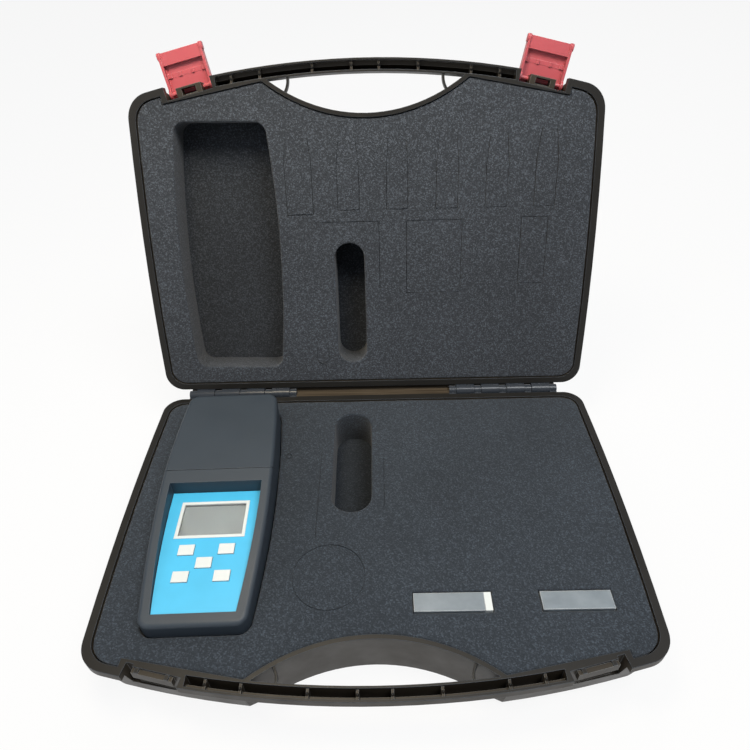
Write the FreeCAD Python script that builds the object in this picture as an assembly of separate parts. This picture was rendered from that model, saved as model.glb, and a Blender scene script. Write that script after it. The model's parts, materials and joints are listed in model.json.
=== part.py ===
"""A pocket chlorine tester in its carrying case, with two sample cells, as an assembly.

World frame: +X right, +Y away from the user, +Z up, millimetres. The origin is the middle of
the underside of the case. The case is modelled open, with its lid leaning on its stop.
"""
import FreeCAD, Part
import math
import os

V = FreeCAD.Vector
X_AXIS = V(1, 0, 0)
Z_AXIS = V(0, 0, 1)
BIG = 400.0

# Case plan: x from the centre line, d forward from the hinge axis, at the rim
hinge_to_middle = 130.0     # from the hinge axis to the world origin
back_d = 5.3                # outer face of the back wall
back_half_width = 180.0
side_bow_x = 181.2          # widest half width
side_bow_d = 100.0
front_corner_x = 176.2
front_d = 260.7             # foremost point of the carrying handle
front_radius = 680.0        # the front is one long arc
back_corner_radius = 15.0
front_corner_radius = 20.0

# Case section
half_depth = 42.0           # each half, from its rim to its outer face
rim_gap = 0.2               # between the two rims when shut
rim_width = 5.0
rim_band = 6.0              # height of the band that stands proud around the rim
band_step = 2.2             # how far the band stands proud of the wall
draft = 0.17                # inward slope of the walls
arch_draft = 0.08           # of the wall around the hand hole
floor_thickness = 2.8
outer_bevel = 7.0           # 45 degree bevel around the outer face
inner_bevel = 6.0

# Handle
arch_radius = 125.0         # foam side of the wall around the hand hole
arch_d = 221.4              # that wall at the centre line
arch_wall = 3.0
handle_width = 9.0
handle_depth = 15.0
handle_wall = 1.4
rib_thickness = 1.6
rib_below_rim = 1.5
rib_places = (10.0, 38.5, 77.0, 98.0)
channel_half_length = 109.5
front_wall_peak = (75.8, 247.0)
front_wall_corner = (150.3, 233.4)
front_notch = (151.6, 245.0)

# Hinge between base and lid
open_angle = 108.7
hinge_start = 73.3
knuckle_count = 4
lid_knuckle_length = 15.7
base_knuckle_length = 5.9
knuckle_gap = 0.2
lid_knuckle_radius = 4.5
base_knuckle_radius = 3.7
hinge_pin_radius = 1.5
pin_clearance = 0.05
knuckle_web = 4.2
strip_back = 8.2            # the moulded strip along the two hinges, behind the axis
strip_thickness = 2.2
strip_gap = 0.5             # around the lid's knuckles

# Latches, in a frame at each latch: t along the case front, i inward from the front face
bay_x = 131.0
bay_angle = 13.0
bay_half_width = 17.8
bay_depth = 9.0
lid_bay_height = 17.4
base_bay_depth = 19.0
latch_half_width = 16.8
latch_reach = 28.0          # from the pivot to the free end
latch_side_wall = 1.8
latch_side_depth = 6.0
latch_plate = 2.0
latch_pivot_in = 4.8
latch_pivot_up = 11.0
latch_pin_radius = 1.5
latch_ear_radius = 3.4
latch_bar_depth = 5.2
latch_open_angle = 90.0
latch_step_depth = 3.0
latch_pocket_depth = 0.9
latch_pocket_widths = (6.0, 8.0, 6.0)
bracket_half_width = 9.5
bracket_front = 2.4
bracket_below_rim = 2.0
bracket_window = (11.0, 3.0)
bracket_front_bar = 1.2     # in front of the pin
catch_engagement = 1.6
catch_half_width = 13.0
catch_top = 1.5
catch_bottom = 8.0
catch_clearance = 0.4
catch_tab = (2.4, 9.6)      # thickness and place of the two upright tabs of the catch
catch_side_clearance = 0.6
catch_well_depth = 8.2      # of the hole beside the catch
latch_grip_cut = 1.0        # bevel along the free end, for a fingertip

# Foam
foam_clearance = 0.3
foam_below_rim = 0.8
foam_layer = 30.0
slot_x = -16.4
slot_near_d = 27.6
slot_far_d = 129.2
base_slot_width = 29.8
lid_slot_width = 24.0
pocket_depth = 26.0         # for the tester
lid_recess_depth = 25.5
tester_gap = 0.8            # between the tester and the foam around it

# Tester plan, in its own frame: origin under its middle, y towards the head
tester_x = -112.4
tester_head_d = 26.0
tester_tail_d = 219.5
tester_skew = 1.2           # how far it lies turned in its pocket, in degrees
head_half_width = 35.2
waist_half_width = 39.6
waist_from_head = 79.0
tail_half_width = 33.0
tester_corner = 8.0

# Tester section
tester_lift_gap = 0.3       # between its underside and the pocket floor
split_height = 24.3         # rear housing below, front housing and cap above
head_top = 50.0
seam_top = 48.5
tail_top = 36.0
shell_wall = 2.2
shell_edge = 3.0            # rounding of the outer edges
seam_from_head = 80.0
seam_slant = 30.0           # the seam leans, so that the hinged cap clears the front housing
seam_gap = 0.4
cap_gap = 0.9               # between cap and rear housing

# Front panel
panel_border = 6.8
panel_from_seam = 11.0
panel_to_tail = 8.0
panel_floor = 35.0
panel_plate = 2.0
overlay_thickness = 0.8
overlay_gap = 0.4
display_size = (48.0, 30.5)
display_from_panel_edge = 9.2
display_border = 2.2
window_thickness = 1.6
key_size = (10.4, 7.8)
key_gap = 0.25
key_column = 13.4
key_row_pitch = 10.0
first_row_offset = 9.3
key_height = 0.7
key_travel = 0.4
key_stem_radius = 1.8
key_stem_clearance = 0.3
key_stop_gap = 0.1          # left under a key when it is pressed down

# Boards and display inside
board_thickness = 1.6
board_half_width = 28.5
board_top = 28.1
board_tail_gap = 8.0
board_head_gap = 4.0
lcd_thickness = 3.2
switch_size = 6.0
switch_height = 1.5
board_screw_radius = 1.1
boss_radius = 2.8
boss_x = 26.3
board_screw_length = 5.0
connector_half = 1.0        # rubber strips between display and board
connector_in = 2.0

# Screws that join the housings
screw_radius = 1.5
screw_head_radius = 2.8
screw_head_height = 2.0
screw_clearance = 0.05
pillar_radius = 4.0
screw_into_front = 5.0
screw_from_side = (9.0, 8.0, 7.0)   # at the tail, at the seam, at the head
screw_from_end = (5.5, 6.5, 8.5)

# Battery bay
cell_radius = 7.25
cell_length = 50.5
cell_count = 4
cell_pitch = 14.9
bay_from_tail = 14.5
bay_wall = 1.5
door_margin = 3.0
door_thickness = 1.8
door_travel = 3.0
door_clearance = 0.3
door_grooves = 4            # for a thumb, across the door
contact_thickness = 1.2
contact_size = 9.0

# Sample chamber
cuvette_side = 12.5
cuvette_height = 45.0
cuvette_wall = 1.25
cuvette_floor = 2.0
well_clearance = 0.15
well_from_head = 46.0
holder_wall = 5.5
holder_height = 19.0
beam_height = 12.0
beam_radius = 2.6
lamp_radius = 2.5
lamp_length = 7.0
sensor_radius = 4.0
sensor_length = 4.0
filter_thickness = 1.5
optics_board = (1.6, 18.0, 13.0)
seal_width = 2.0
seal_height = 2.0
deck_thickness = 2.4
deck_clearance = 0.3
deck_rib = 1.6
deck_rib_height = 6.0

# Hinge of the light cap
cap_pivot_in = 5.0          # from the head end
cap_pivot_down = 6.4        # below the top
cap_pin_radius = 1.25
cap_post_half_width = 9.0
cap_lug_width = 4.0
cap_lug_radius = 3.0
cap_side_clearance = 0.5

# Cuvettes lying in the base foam
left_cuvette_x = 24.8
right_cuvette_x = 105.7
cuvette_from_hand_hole = 20.7    # from the middle of a cell to the arch around the hand hole
stopper_length = 4.5
stopper_rim = 0.4
stopper_plug = 3.0
stopper_clearance = 0.1
cuvette_pocket_gap = 0.5

# Values worked out from those above
rim_z = half_depth
front_centre_d = front_d - front_radius
arch_centre_d = arch_d + arch_radius
cuvette_d = arch_d - cuvette_from_hand_hole
tester_length = tester_tail_d - tester_head_d
tester_half = tester_length / 2
tester_mid_d = (tester_head_d + tester_tail_d) / 2
waist_y = tester_half - waist_from_head
seam_y = tester_half - seam_from_head
seam_lean = math.tan(math.radians(seam_slant))
seam_low_y = seam_y + (seam_top - split_height) * seam_lean
cap_bottom = split_height + cap_gap
tester_floor_z = rim_z - foam_below_rim - pocket_depth + tester_lift_gap
panel_head_y = seam_y - panel_from_seam
panel_tail_y = -tester_half + panel_to_tail
display_y = panel_head_y - display_from_panel_edge - display_size[1] / 2
well_y = tester_half - well_from_head
well_half = cuvette_side / 2 + well_clearance
holder_half = well_half + holder_wall
battery_y0 = -tester_half + bay_from_tail
battery_y1 = battery_y0 + cell_length + 2 * contact_thickness
battery_half = cell_pitch * cell_count / 2
cap_pivot_y = tester_half - cap_pivot_in
cap_pivot_z = head_top - cap_pivot_down


def box(x0, x1, y0, y1, z0, z1):
    """An upright box between two corners."""
    return Part.makeBox(x1 - x0, y1 - y0, z1 - z0, V(x0, y0, z0))


def rod(radius, start, end):
    """A round bar from one point to another."""
    way = end - start
    return Part.makeCylinder(radius, way.Length, start, way)


def upright(radius, x, y, z0, z1):
    """An upright round bar."""
    return rod(radius, V(x, y, z0), V(x, y, z1))


def prism(points, z0, z1):
    """A flat outline of (x, y) corners, raised from z0 to z1."""
    corners = [V(x, y, z0) for x, y in points]
    wire = Part.makePolygon(corners + corners[:1])
    return Part.Face(wire).extrude(V(0, 0, z1 - z0))


def fuse(first, *rest):
    """One solid from touching or overlapping ones."""
    return first.multiFuse(list(rest)).removeSplitter()


def mirrored(shape):
    """The same shape on the other side of the centre plane."""
    return shape.mirror(V(0, 0, 0), X_AXIS)


def front_line(x, inset):
    """How far forward the front face is at x."""
    return front_centre_d + math.sqrt((front_radius - inset) ** 2 - x * x)


def case_wire(inset, z):
    """The outline of the case, drawn in by inset, with its four round corners."""
    back = back_d + inset
    corner_x = front_corner_x - inset
    corner = V(corner_x, -front_line(corner_x, inset), z)
    rear = V(back_half_width - inset, -back, z)
    bow = V(side_bow_x - inset, -side_bow_d, z)
    nose = V(0, inset - front_d, z)
    edges = [
        Part.makeLine(V(-rear.x, rear.y, z), rear),
        Part.Arc(rear, bow, corner).toShape(),
        Part.Arc(corner, nose, V(-corner.x, corner.y, z)).toShape(),
        Part.Arc(V(-corner.x, corner.y, z), V(-bow.x, bow.y, z), V(-rear.x, rear.y, z)).toShape(),
    ]
    block = Part.Face(Part.Wire(edges)).extrude(V(0, 0, 1))
    for spot, radius in ((rear, back_corner_radius), (corner, front_corner_radius)):
        chosen = [
            e for e in block.Edges
            if abs(abs(e.CenterOfMass.x) - spot.x) < 1e-3 and abs(e.CenterOfMass.y - spot.y) < 1e-3
        ]
        block = block.makeFillet(max(radius - inset / 2, 2 * rim_width), chosen)
    lowest = [f for f in block.Faces if abs(f.CenterOfMass.z - z) < 1e-6]
    return lowest[0].OuterWire


def tub(extra, top, low, bevel_start):
    """A tapering block with the outline of the case, from z = top down to z = low.

    extra is its distance inside the outer wall line. Below bevel_start it draws in at 45 degrees.
    """
    def inset(z):
        return extra - draft * z + max(0.0, bevel_start - z)

    levels = [top]
    if low < bevel_start < top:
        levels.append(bevel_start)
    levels.append(low)
    wires = [case_wire(inset(z), z) for z in levels]
    return Part.makeLoft(wires, True, True)


def arch(radius, top, low):
    """The round space of the hand hole, which widens downwards as the walls taper."""
    height = top - low
    low_radius = radius - arch_draft * low
    top_radius = radius - arch_draft * top
    return Part.makeCone(low_radius, top_radius, height, V(0, -arch_centre_d, low))


def front_blocks(clearance):
    """What keeps the foam chamber behind the handle channel and the latch bays."""
    (px, pd), (cx, cd), (nx, nd) = front_wall_peak, front_wall_corner, front_notch
    slope = (cd - pd) / (cx - px)
    start_d = pd - slope * px
    corners = [
        (0.0, -start_d + clearance),
        (cx + clearance, -cd + clearance),
        (nx + clearance, -nd),
        (nx + clearance, -BIG),
        (0.0, -BIG),
    ]
    right = prism(corners, -BIG / 4, BIG / 4)
    return right.fuse(mirrored(right))


def chamber(clearance, top, low):
    """The foam chamber of one half of the case, or a block of foam that fills it."""
    bevel_start = inner_bevel + floor_thickness - half_depth
    block = tub(rim_width + clearance, top, low, bevel_start)
    block = block.cut(arch(arch_radius + clearance, top, low))
    return block.cut(front_blocks(clearance))


def in_bay(shape, side):
    """Places a shape made in the latch frame, at the right or left latch of a half case."""
    placed = shape.copy()
    placed.rotate(V(0, 0, 0), Z_AXIS, bay_angle)
    placed.translate(V(bay_x, -front_line(bay_x, 0), 0))
    return placed if side > 0 else mirrored(placed)


def handle_channel():
    """The open channel along the handle, without its cross ribs.

    Only its inner part goes down past the rim band, below which the outer wall steps in.
    """
    centre = V(0, -front_centre_d, 0)
    ledge = V(0, 0, handle_wall - rim_band)
    floor = V(0, 0, handle_wall - handle_depth)
    deep_radius = front_radius - band_step - handle_wall
    upper = Part.makeCylinder(front_radius - handle_wall, BIG, centre + ledge)
    lower = Part.makeCone(
        deep_radius + draft * floor.z, deep_radius + draft * ledge.z, ledge.z - floor.z, centre + floor,
    )
    inner = Part.makeCylinder(front_radius - handle_width + handle_wall, BIG, centre + floor)
    ring = upper.fuse(lower).cut(inner)
    span = box(-channel_half_length, channel_half_length, -BIG, -arch_d, -BIG, BIG)
    channel = ring.common(span)
    for place in rib_places:
        for x in (-place, place):
            rib = box(x - rib_thickness / 2, x + rib_thickness / 2, -BIG, 0, -BIG, -rib_below_rim)
            channel = channel.cut(rib)
    return channel


def half_shell():
    """One half of the case, rim up at z = 0, before its latch bays and hinge knuckles."""
    band = Part.Face(case_wire(0, -rim_band)).extrude(V(0, 0, rim_band))
    shell = band.fuse(tub(band_step, -rim_band, -half_depth, outer_bevel - half_depth))
    shell = shell.cut(chamber(0, 0, floor_thickness - half_depth))
    inner_bar = Part.makeCylinder(front_radius - handle_width, BIG, V(0, -front_centre_d, -BIG / 2))
    hole_radius = arch_radius - arch_wall
    hand_hole = arch(hole_radius, 1, -handle_depth).common(inner_bar)
    below_handle = arch(hole_radius, -handle_depth, -half_depth - 1)
    shell = shell.cut(hand_hole).cut(below_handle)
    return shell.cut(handle_channel())


def knuckle_spans():
    """Where the lid's and the base's knuckles lie along the right-hand hinge."""
    pitch = lid_knuckle_length + base_knuckle_length + 2 * knuckle_gap
    lid_spans = []
    base_spans = [(hinge_start - knuckle_gap - base_knuckle_length, hinge_start - knuckle_gap)]
    for k in range(knuckle_count):
        start = hinge_start + k * pitch
        end = start + lid_knuckle_length
        lid_spans.append((start, end))
        base_spans.append((end + knuckle_gap, end + knuckle_gap + base_knuckle_length))
    return lid_spans, base_spans


def with_knuckles(shell, spans, radius, axis_z):
    """A half case with its hinge knuckles, bored for the pins at the height axis_z."""
    added = []
    bores = []
    for x0, x1 in spans:
        barrel = rod(radius, V(x0, 0, axis_z), V(x1, 0, axis_z))
        web = box(x0, x1, -back_d - band_step, 0, -knuckle_web, -rim_gap)
        bore = rod(hinge_pin_radius + pin_clearance, V(x0 - 1, 0, axis_z), V(x1 + 1, 0, axis_z))
        added += [barrel, web, mirrored(barrel), mirrored(web)]
        bores += [bore, mirrored(bore)]
    return shell.multiFuse(added).cut(bores[0].multiFuse(bores[1:]))


def make_base_shell():
    """The lower half of the case, with the two catches and the strip along the hinges."""
    lid_spans, spans = knuckle_spans()
    strip_end = spans[-1][1]
    strip = box(-strip_end, strip_end, -back_d - 1, strip_back, -strip_thickness, 0)
    reach = lid_knuckle_radius + strip_gap
    for x0, x1 in lid_spans:
        opening = box(x0 - knuckle_gap, x1 + knuckle_gap, -reach, reach, -BIG, 1)
        strip = strip.cut(opening).cut(mirrored(opening))
    shell = with_knuckles(half_shell().fuse(strip), spans, base_knuckle_radius, 0)
    step_in = latch_side_depth + catch_side_clearance
    nose_in = latch_bar_depth - catch_engagement
    for side in (-1, 1):
        bay = box(-bay_half_width, bay_half_width, -BIG, step_in, -base_bay_depth, 1)
        shell = shell.cut(in_bay(bay, side))
        nose = box(-catch_half_width, catch_half_width, nose_in, step_in + 1, -catch_bottom, -catch_top)
        thickness, place = catch_tab
        tabs = [
            box(t - thickness / 2, t + thickness / 2, nose_in, step_in + 1, -catch_top, -rim_gap)
            for t in (-place, place)
        ]
        shell = shell.multiFuse([in_bay(piece, side) for piece in [nose] + tabs])
        well = box(catch_half_width, bay_half_width, step_in - 1, catch_well_depth, -base_bay_depth, 1)
        shell = shell.cut(in_bay(well, side))
    return shell.removeSplitter()


def make_lid_shell():
    """The upper half of the case, rim up at z = 0, with the brackets that carry the latches."""
    spans, _ = knuckle_spans()
    shell = with_knuckles(half_shell(), spans, lid_knuckle_radius, rim_gap)
    pivot = V(0, latch_pivot_in, -latch_pivot_up)
    reach = V(bracket_half_width, 0, 0)
    nose_radius = latch_pivot_in - bracket_front
    for side in (-1, 1):
        bay = box(-bay_half_width, bay_half_width, -BIG, bay_depth, -lid_bay_height, 1)
        shell = shell.cut(in_bay(bay, side))
        bracket = fuse(
            box(
                -bracket_half_width, bracket_half_width, bracket_front, bay_depth + 1,
                pivot.z, -bracket_below_rim,
            ),
            box(
                -bracket_half_width, bracket_half_width, latch_pivot_in, bay_depth + 1,
                pivot.z - nose_radius, pivot.z,
            ),
            rod(nose_radius, pivot - reach, pivot + reach),
        )
        window_w, window_h = bracket_window
        window = box(
            -window_w / 2, window_w / 2, -1, latch_pivot_in,
            pivot.z - window_h / 2, pivot.z + window_h / 2,
        )
        over = box(
            -window_w / 2, window_w / 2, bracket_front + bracket_front_bar, bay_depth - 1,
            pivot.z, 1,
        )
        bore = rod(latch_pin_radius + pin_clearance, pivot - 2 * reach, pivot + 2 * reach)
        bracket = bracket.cut(window).cut(over).cut(bore)
        shell = shell.fuse(in_bay(bracket, side))
    return shell.removeSplitter()


def make_latch():
    """A latch hanging shut over the front, in the latch frame with the rims at z = 0."""
    low = latch_pivot_up - latch_reach
    high = latch_pivot_up + latch_ear_radius
    w = latch_half_width
    plate = box(-w, w, 0, latch_plate, low, high)
    pieces = []
    for t in (-w, w - latch_side_wall):
        ear_start = V(t, latch_pivot_in, latch_pivot_up)
        ear = rod(latch_ear_radius, ear_start, ear_start + V(latch_side_wall, 0, 0))
        side = box(t, t + latch_side_wall, 0, latch_side_depth, low, latch_pivot_up)
        pieces += [ear, side, box(t, t + latch_side_wall, 0, latch_pivot_in, low, high)]
    bar_top = -catch_bottom - catch_clearance
    pieces.append(box(-w, w, 0, latch_bar_depth, low, bar_top))
    step_z = -latch_step_depth
    pieces.append(box(-w, w, 0, latch_step_depth, step_z, step_z + latch_step_depth))
    pin_start = V(-w, latch_pivot_in, latch_pivot_up)
    pin = rod(latch_pin_radius, pin_start, pin_start + V(2 * w, 0, 0))
    latch = fuse(plate, pin, *pieces)
    pocket_x = -sum(latch_pocket_widths) / 2 - latch_side_wall
    for width in latch_pocket_widths:
        pocket = box(
            pocket_x, pocket_x + width,
            latch_step_depth - latch_pocket_depth, latch_step_depth + 1,
            step_z - 1, step_z + latch_step_depth + 1,
        )
        latch = latch.cut(pocket)
        pocket_x += width + latch_side_wall
    g = latch_grip_cut
    grip = box(-w - g, w + g, -g, g, -g, g)
    grip.rotate(V(0, 0, 0), X_AXIS, 45)
    grip.translate(V(0, -g, low))
    return latch.cut(grip)


def slot(width, depth, top):
    """The long round-ended slot cut into both foams, down from z = top."""
    r = width / 2
    near = slot_near_d + r
    far = slot_far_d - r
    low = top - depth
    block = box(slot_x - r, slot_x + r, -far, -near, low, top)
    return fuse(block, upright(r, slot_x, -near, low, top), upright(r, slot_x, -far, low, top))


def tester_wire(inset, z):
    """The outline of the tester, drawn in by inset, with round corners."""
    head = V(head_half_width - inset, tester_half - inset, z)
    tail = V(tail_half_width - inset, inset - tester_half, z)
    waist = V(waist_half_width - inset, waist_y, z)
    edges = [
        Part.makeLine(V(-tail.x, tail.y, z), tail),
        Part.Arc(tail, waist, head).toShape(),
        Part.makeLine(head, V(-head.x, head.y, z)),
        Part.Arc(V(-head.x, head.y, z), V(-waist.x, waist.y, z), V(-tail.x, tail.y, z)).toShape(),
    ]
    block = Part.Face(Part.Wire(edges)).extrude(V(0, 0, 1))
    corners = [e for e in block.Edges if abs(e.BoundBox.ZLength - 1) < 1e-6]
    block = block.makeFillet(max(tester_corner - inset, 1.0), corners)
    lowest = [f for f in block.Faces if abs(f.CenterOfMass.z - z) < 1e-6]
    return lowest[0].OuterWire


def tester_block(inset, z0, z1):
    """A block with the outline of the tester."""
    return Part.Face(tester_wire(inset, z0)).extrude(V(0, 0, z1 - z0))


def tester_envelope(inset, drop):
    """The tester's whole body below its sloping top, drawn in by inset all round."""
    body = tester_block(inset, inset, head_top + 1)
    side = [
        (-tester_half - 1, -1), (tester_half + 1, -1), (tester_half + 1, head_top - drop),
        (seam_y, seam_top - drop), (-tester_half - 1, tail_top - drop),
    ]
    corners = [V(-BIG / 2, y, z) for y, z in side]
    profile = Part.Face(Part.makePolygon(corners + corners[:1])).extrude(V(BIG, 0, 0))
    return body.common(profile)


def rounded_body():
    """The outer form of the tester with its top and bottom edges rounded."""
    body = tester_envelope(0, 0)
    top_faces = [f for f in body.Faces if f.normalAt(0, 0).z > 0.9]
    low_faces = [f for f in body.Faces if f.normalAt(0, 0).z < -0.9]
    shared = {}
    for face in top_faces + low_faces:
        for edge in face.Edges:
            key = tuple(round(v, 3) for v in edge.CenterOfMass)
            shared.setdefault(key, []).append(edge)
    rims = [edges[0] for edges in shared.values() if len(edges) == 1]
    return body.makeFillet(shell_edge, rims)


def before_seam(gap, top, low):
    """Everything on the tail side of the leaning seam, that far from it."""
    def seam_at(z):
        return seam_y - gap + (seam_top - z) * seam_lean

    side = [(-BIG, low), (seam_at(low), low), (seam_at(top), top), (-BIG, top)]
    corners = [V(-BIG / 2, y, z) for y, z in side]
    return Part.Face(Part.makePolygon(corners + corners[:1])).extrude(V(BIG, 0, 0))


def side_slab(y0, y1, z0, z1):
    """Everything between two lengthwise places and two heights."""
    return box(-BIG / 2, BIG / 2, y0, y1, z0, z1)


def place_tester(shape):
    """From the tester's own frame to where it lies in the case."""
    placed = shape.copy()
    placed.rotate(V(0, 0, 0), Z_AXIS, tester_skew)
    placed.translate(V(tester_x, hinge_to_middle - tester_mid_d, tester_floor_z))
    return placed


def pocket_block(top, depth, gap):
    """The space for the tester in a block of foam, in the plan of a half case."""
    block = Part.Face(tester_wire(-gap, -depth)).extrude(V(0, 0, depth))
    block.rotate(V(0, 0, 0), Z_AXIS, tester_skew)
    block.translate(V(tester_x, -tester_mid_d, top))
    return block


def place_base(shape):
    """From the plan of a half case to the base."""
    placed = shape.copy()
    placed.translate(V(0, hinge_to_middle, rim_z))
    return placed


def place_lid(shape):
    """From a half case with its rim up to the open lid."""
    return open_lid(shape.mirror(V(0, 0, 0), Z_AXIS))


def open_lid(shape):
    """Opens what is drawn on the shut lid, with the rim of the base at z = 0."""
    placed = shape.copy()
    placed.translate(V(0, 0, rim_gap))
    placed.rotate(V(0, 0, 0), X_AXIS, -open_angle)
    placed.translate(V(0, hinge_to_middle, rim_z))
    return placed


parts = {}

# Case
parts["base_shell"] = place_base(make_base_shell())
parts["lid_shell"] = place_lid(make_lid_shell())

_, pin_spans = knuckle_spans()
pin_start = pin_spans[0][0]
pin_end = pin_spans[-1][1]
pin = rod(hinge_pin_radius, V(pin_start, 0, 0), V(pin_end, 0, 0))
parts["hinge_pins"] = place_base(Part.makeCompound([pin, mirrored(pin)]))

shut_latch = make_latch()
opened_latch = shut_latch.copy()
opened_latch.rotate(V(0, latch_pivot_in, latch_pivot_up), X_AXIS, -latch_open_angle)
parts["right_latch"] = open_lid(in_bay(opened_latch, 1))
parts["left_latch"] = open_lid(in_bay(opened_latch, -1))

# Foam
foam_top = -foam_below_rim
foam_middle = foam_top - foam_layer
foam_low = floor_thickness - half_depth + foam_clearance
base_tray = chamber(foam_clearance, foam_top, foam_middle)
lid_tray = base_tray.cut(slot(lid_slot_width, foam_layer + 1, foam_top + 1))
lid_tray = lid_tray.cut(pocket_block(foam_top, lid_recess_depth, tester_gap))
base_tray = base_tray.cut(slot(base_slot_width, foam_layer + 1, foam_top + 1))
base_tray = base_tray.cut(pocket_block(foam_top, pocket_depth, tester_gap))
pad = chamber(foam_clearance, foam_middle, foam_low)

cuvette_places = (
    (left_cuvette_x, left_cuvette_x + cuvette_height + stopper_length),
    (right_cuvette_x, right_cuvette_x + cuvette_height),
)
lying_depth = cuvette_side + tester_lift_gap
for x0, x1 in cuvette_places:
    g = cuvette_pocket_gap
    half = cuvette_side / 2 + stopper_rim + g
    base_tray = base_tray.cut(
        box(x0 - g, x1 + g, -cuvette_d - half, -cuvette_d + half, foam_top - lying_depth, 1)
    )

parts["base_foam_tray"] = place_base(base_tray)
parts["base_foam_pad"] = place_base(pad)
parts["lid_foam_tray"] = place_lid(lid_tray)
parts["lid_foam_pad"] = place_lid(pad)

# Cuvettes, lying on their sides with their open ends to the right
c = cuvette_side / 2
glass = box(0, cuvette_height, -c, c, 0, cuvette_side)
w = cuvette_wall
inside = box(cuvette_floor, cuvette_height + 1, w - c, c - w, w, cuvette_side - w)
cuvette = glass.cut(inside)
w_plug = w + stopper_clearance
plug_half = c - w_plug
stopper_low = cuvette_height - stopper_plug
stopper = fuse(
    box(cuvette_height, cuvette_height + stopper_length, -c, c, 0, cuvette_side),
    box(stopper_low, cuvette_height, -plug_half, plug_half, w_plug, cuvette_side - w_plug),
)
lying = V(0, -cuvette_d, foam_top - cuvette_side)
for name, shape, x in (
    ("left_cuvette", cuvette, left_cuvette_x),
    ("cuvette_stopper", stopper, left_cuvette_x),
    ("right_cuvette", cuvette, right_cuvette_x),
):
    laid = shape.copy()
    laid.translate(lying + V(x, 0, 0))
    parts[name] = place_base(laid)

# Tester housings
outside = rounded_body()
hollow = tester_envelope(shell_wall, shell_wall)
rear_zone = side_slab(-BIG, BIG, -1, split_height)
front_zone = before_seam(seam_gap, 2 * head_top, split_height)
cap_zone = side_slab(-BIG, BIG, cap_bottom, 2 * head_top).cut(before_seam(0, 2 * head_top, 0))

screw_places = [
    (sx * x, y)
    for x, y in (
        (tail_half_width - screw_from_side[0], screw_from_end[0] - tester_half),
        (waist_half_width - screw_from_side[1], seam_y - screw_from_end[1]),
        (head_half_width - screw_from_side[2], tester_half - screw_from_end[2]),
    )
    for sx in (-1, 1)
]
rear = outside.common(rear_zone).cut(hollow)
bay_outer = box(
    -battery_half - bay_wall, battery_half + bay_wall,
    battery_y0 - bay_wall, battery_y1 + bay_wall, 0, door_thickness + 2 * cell_radius + 2 * bay_wall,
)
bay_inner = box(
    -battery_half, battery_half, battery_y0, battery_y1,
    -1, door_thickness + 2 * cell_radius + bay_wall,
)
door_half = battery_half + door_margin
door_y0 = battery_y0 - bay_wall
door_y1 = battery_y1 + door_margin
door_space = box(
    -door_half - door_clearance, door_half + door_clearance,
    door_y0 - door_clearance - door_travel, door_y1 + door_clearance,
    -1, door_thickness + door_clearance,
)
rear = rear.fuse(bay_outer.common(outside))
screws = []
for x, y in screw_places:
    pillar = upright(pillar_radius, x, y, 0, split_height - deck_thickness * (y > seam_y))
    rear = rear.fuse(pillar.common(outside))
rear = rear.cut(bay_inner).cut(door_space)
for x, y in screw_places:
    head_z = screw_head_height / 2
    top = split_height + (screw_into_front if y < seam_y else 0.0)
    hole = upright(screw_radius + screw_clearance, x, y, -1, BIG)
    sink = upright(screw_head_radius + screw_clearance, x, y, -1, head_z + screw_head_height)
    rear = rear.cut(hole).cut(sink)
    shank = upright(screw_radius, x, y, head_z + screw_head_height, top)
    screws.append(shank.fuse(upright(screw_head_radius, x, y, head_z, head_z + screw_head_height)))

front = outside.common(front_zone).cut(hollow)
seam_wall = front_zone.cut(before_seam(seam_gap + shell_wall, 2 * head_top, 0))
front = front.fuse(outside.common(seam_wall))
panel_outer = tester_block(panel_border - panel_plate, panel_floor - panel_plate, head_top)
panel_outer = panel_outer.common(
    side_slab(panel_tail_y - panel_plate, panel_head_y + panel_plate, 0, BIG)
).common(outside)
panel_space = tester_block(panel_border, panel_floor, BIG / 4)
panel_space = panel_space.common(side_slab(panel_tail_y, panel_head_y, 0, BIG))
front = front.fuse(panel_outer).cut(panel_space)
for x, y in screw_places:
    if y < seam_y:
        pillar = upright(pillar_radius, x, y, split_height, panel_floor)
        front = front.fuse(pillar.common(outside).cut(panel_space))
        pilot = upright(screw_radius + screw_clearance, x, y, 0, split_height + screw_into_front + 1)
        front = front.cut(pilot)

# Front panel: overlay, display, keys
dw, dl = display_size
opening_half = (dw / 2 - display_border, dl / 2 - display_border)
window = box(
    -opening_half[0], opening_half[0], display_y - opening_half[1], display_y + opening_half[1],
    panel_floor - window_thickness, panel_floor,
)
overlay = tester_block(panel_border + overlay_gap, panel_floor, panel_floor + overlay_thickness)
overlay = overlay.common(side_slab(panel_tail_y + overlay_gap, panel_head_y - overlay_gap, 0, BIG))
bezel = box(
    -dw / 2, dw / 2, display_y - dl / 2, display_y + dl / 2,
    panel_floor, panel_floor + 1.5 * overlay_thickness,
)
bezel_space = box(-dw / 2, dw / 2, display_y - dl / 2, display_y + dl / 2, 0, BIG)
view = box(
    -opening_half[0], opening_half[0], display_y - opening_half[1], display_y + opening_half[1], 0, BIG,
)
front = front.cut(view)
overlay = overlay.cut(bezel_space)
bezel = bezel.cut(view)

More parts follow.
